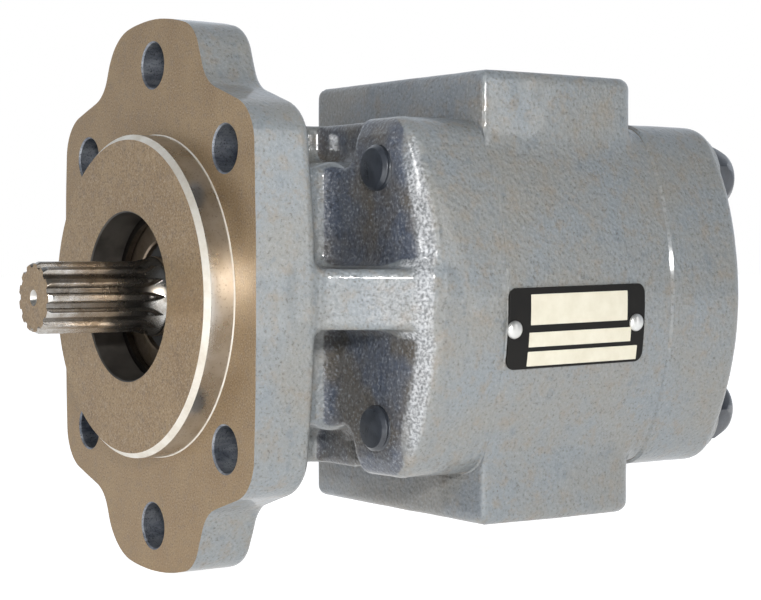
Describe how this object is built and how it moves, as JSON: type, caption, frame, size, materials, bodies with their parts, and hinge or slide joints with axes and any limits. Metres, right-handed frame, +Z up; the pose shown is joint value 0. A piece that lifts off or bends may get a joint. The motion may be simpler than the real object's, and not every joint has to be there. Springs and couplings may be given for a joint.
{
  "type": "hydraulic gear pump",
  "caption": "External gear pump with a splined drive shaft, an SAE B flange with two-bolt and four-bolt patterns, and flanged ports on top and bottom.",
  "frame": {"origin": "centre of the mounting flange's face on the drive shaft's axis", "axes": "+Z up, towards the outlet; the drive shaft points along -Y and the pump's body lies along +Y; the driven gear lies at +X"},
  "size_m": [0.1485, 0.2326, 0.1758],
  "materials": {
    "cast_paint": "gloss",
    "painted_steel": "gloss",
    "shaft_steel": "satin",
    "plated_steel": "satin",
    "dark_steel": "satin",
    "bronze": "satin",
    "seal_rubber": "matte",
    "backup_plastic": "matte",
    "nameplate_black": "satin"
  },
  "bodies": {
    "casing": {"front_cover": "cast_paint", "gear_housing": "cast_paint", "rear_cover": "cast_paint", "front_drive_bushing": "bronze", "front_driven_bushing": "bronze", "rear_drive_bushing": "bronze", "rear_driven_bushing": "bronze", "front_thrust_plate": "bronze", "rear_thrust_plate": "bronze", "front_plate_seal": "seal_rubber", "rear_plate_seal": "seal_rubber", "front_plate_backup": "backup_plastic", "rear_plate_backup": "backup_plastic", "front_body_seal": "seal_rubber", "rear_body_seal": "seal_rubber", "shaft_seal_case": "plated_steel", "shaft_seal_lip": "seal_rubber", "seal_garter_spring": "plated_steel", "seal_retaining_ring": "dark_steel", "cap_screws": "painted_steel", "front_dowel_pins": "plated_steel", "rear_dowel_pins": "plated_steel", "nameplate": "nameplate_black", "nameplate_rivets": "plated_steel"},
    "drive_shaft": {"drive_gear_shaft": "shaft_steel"},
    "driven_gear": {"driven_gear_shaft": "shaft_steel"}
  },
  "joints": [
    {"name": "drive_shaft_spin", "type": "hinge", "parent": "casing", "child": "drive_shaft", "pos_m": [0, 0, 0], "axis": [0, 1, 0], "continuous": true},
    {"name": "driven_gear_spin", "type": "hinge", "parent": "casing", "child": "driven_gear", "pos_m": [0.048, 0, 0], "axis": [0, 1, 0], "continuous": true}
  ],
  "couplings": [
    {"joint": "driven_gear_spin", "follows": "drive_shaft_spin", "ratio": -1}
  ]
}
